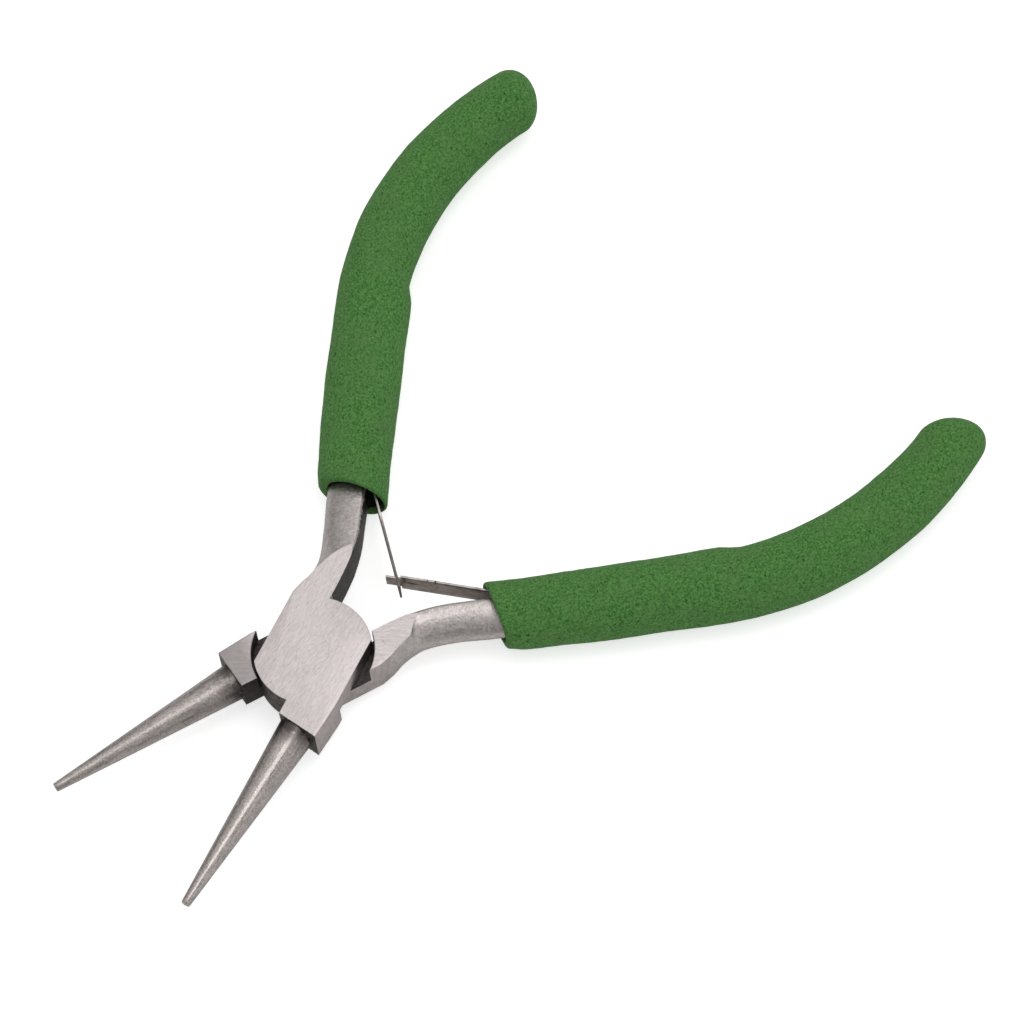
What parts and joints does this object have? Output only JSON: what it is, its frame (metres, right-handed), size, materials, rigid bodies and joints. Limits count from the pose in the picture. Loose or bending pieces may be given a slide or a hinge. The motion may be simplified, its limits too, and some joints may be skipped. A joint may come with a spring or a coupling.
{
  "type": "round nose pliers",
  "caption": "Small spring-opened pliers with long tapered round jaws, a flush lap joint, crossed leaf springs and soft curved foam grips.",
  "frame": {"origin": "on the pivot's axis, at the back face of the joint", "axes": "+X from the pivot towards the jaw tips, halving the jaws' opening; +Y towards the front lever's jaw; +Z out of the front face of the joint"},
  "size_m": [0.1189, 0.091, 0.0098],
  "materials": {
    "forged_steel": "ground flat on both faces of the joint, satin on the cones, coarse crosswise grinding on the necks",
    "rivet_steel": "ground flush with the joint",
    "spring_steel": "rolled strip, slightly stained",
    "grip_foam": "matt fine-celled foam"
  },
  "bodies": {
    "back": {"lever_back": "forged_steel", "pivot_rivet": "rivet_steel", "grip_back": "grip_foam", "spring_seat_back": "spring_steel", "seat_rivet_back": "rivet_steel"},
    "front": {"lever_front": "forged_steel", "grip_front": "grip_foam", "spring_seat_front": "spring_steel", "seat_rivet_front": "rivet_steel"},
    "leaf_back": {"spring_leaf_back": "spring_steel"},
    "leaf_front": {"spring_leaf_front": "spring_steel"}
  },
  "joints": [
    {"name": "pivot", "type": "hinge", "parent": "back", "child": "front", "pos_m": [0, 0, 0.00296], "axis": [0, 0, -1], "range_deg": [0, 35.4], "stiffness_Nm_per_rad": 0.3},
    {"name": "leaf_front_flex", "type": "hinge", "parent": "front", "child": "leaf_front", "pos_m": [-0.02564, -0.00766, 0.00296], "axis": [0, 0, -1], "range_deg": [0, 21.3]},
    {"name": "leaf_back_flex", "type": "hinge", "parent": "back", "child": "leaf_back", "pos_m": [-0.02564, 0.00766, 0.00296], "axis": [0, 0, 1], "range_deg": [0, 21.3]}
  ],
  "couplings": [
    {"joint": "leaf_front_flex", "follows": "pivot", "ratio": 0.6},
    {"joint": "leaf_back_flex", "follows": "pivot", "ratio": 0.6}
  ]
}
